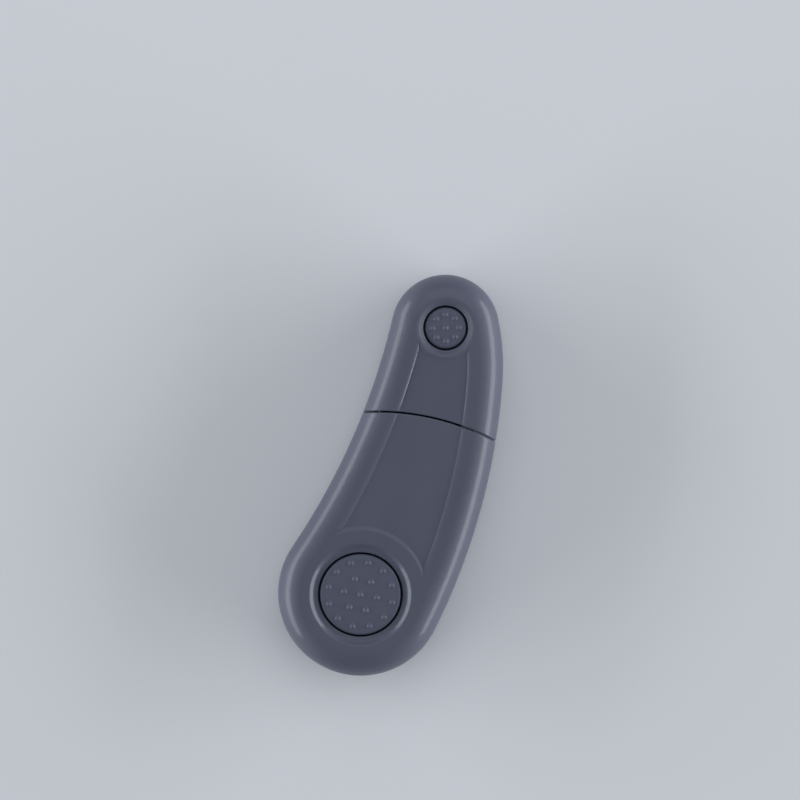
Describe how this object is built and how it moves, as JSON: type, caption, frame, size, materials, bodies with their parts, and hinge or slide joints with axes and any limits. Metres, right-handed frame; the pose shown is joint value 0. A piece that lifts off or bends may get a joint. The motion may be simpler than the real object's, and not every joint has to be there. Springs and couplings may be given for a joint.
{
  "type": "cabinet safety lock",
  "caption": "Child safety lock for cabinet doors: a crowned arm swings on a hub and hooks into a fixed catch, held shut until its push buttons are pressed.",
  "frame": {"origin": "on the door face, under the middle of the big button, on the arm's pivot axis", "axes": "+Y from the pivot to the small button, along the lock; +X to the right seen from the front; +Z off the door, towards the user"},
  "size_m": [0.0419, 0.1007, 0.0205],
  "materials": {
    "shell": "satin moulded plastic, blue grey",
    "button": "fine-textured moulded plastic, grey",
    "frame": "matte moulded plastic, dark blue grey",
    "spring_plastic": "natural acetal",
    "steel": "zinc-plated steel",
    "foam": "adhesive foam tape"
  },
  "bodies": {
    "lock_base": {"pivot_pad": "foam", "pivot_base": "frame", "glide_washer": "spring_plastic", "pivot_washer": "steel", "pivot_screw": "steel", "catch_pad": "foam", "catch_base": "frame", "catch_post": "steel", "catch_shell": "shell", "catch_screws": "steel", "latch_finger": "spring_plastic", "latch_screw": "steel", "catch_spring": "steel"},
    "arm": {"arm_frame": "frame", "arm_shell": "shell", "arm_screws": "steel", "lock_ring": "spring_plastic", "pivot_spring": "steel"},
    "pivot_button": {"pivot_button": "button"},
    "catch_button": {"catch_button": "button"}
  },
  "joints": [
    {"name": "arm_swing", "type": "hinge", "parent": "lock_base", "child": "arm", "pos_m": [0, 0, 0.006], "axis": [0, 0, -1], "range_deg": [0, 270]},
    {"name": "pivot_button_press", "type": "slide", "parent": "arm", "child": "pivot_button", "axis": [0, 0, -1], "range_m": [0, 0.0025], "stiffness_N_per_m": 1200, "springref_m": -0.002, "deforming": ["pivot_spring", "lock_ring"]},
    {"name": "catch_button_press", "type": "slide", "parent": "lock_base", "child": "catch_button", "axis": [0, 0, -1], "range_m": [0, 0.0015], "stiffness_N_per_m": 1200, "springref_m": -0.0015, "deforming": ["latch_finger", "catch_spring"]}
  ]
}
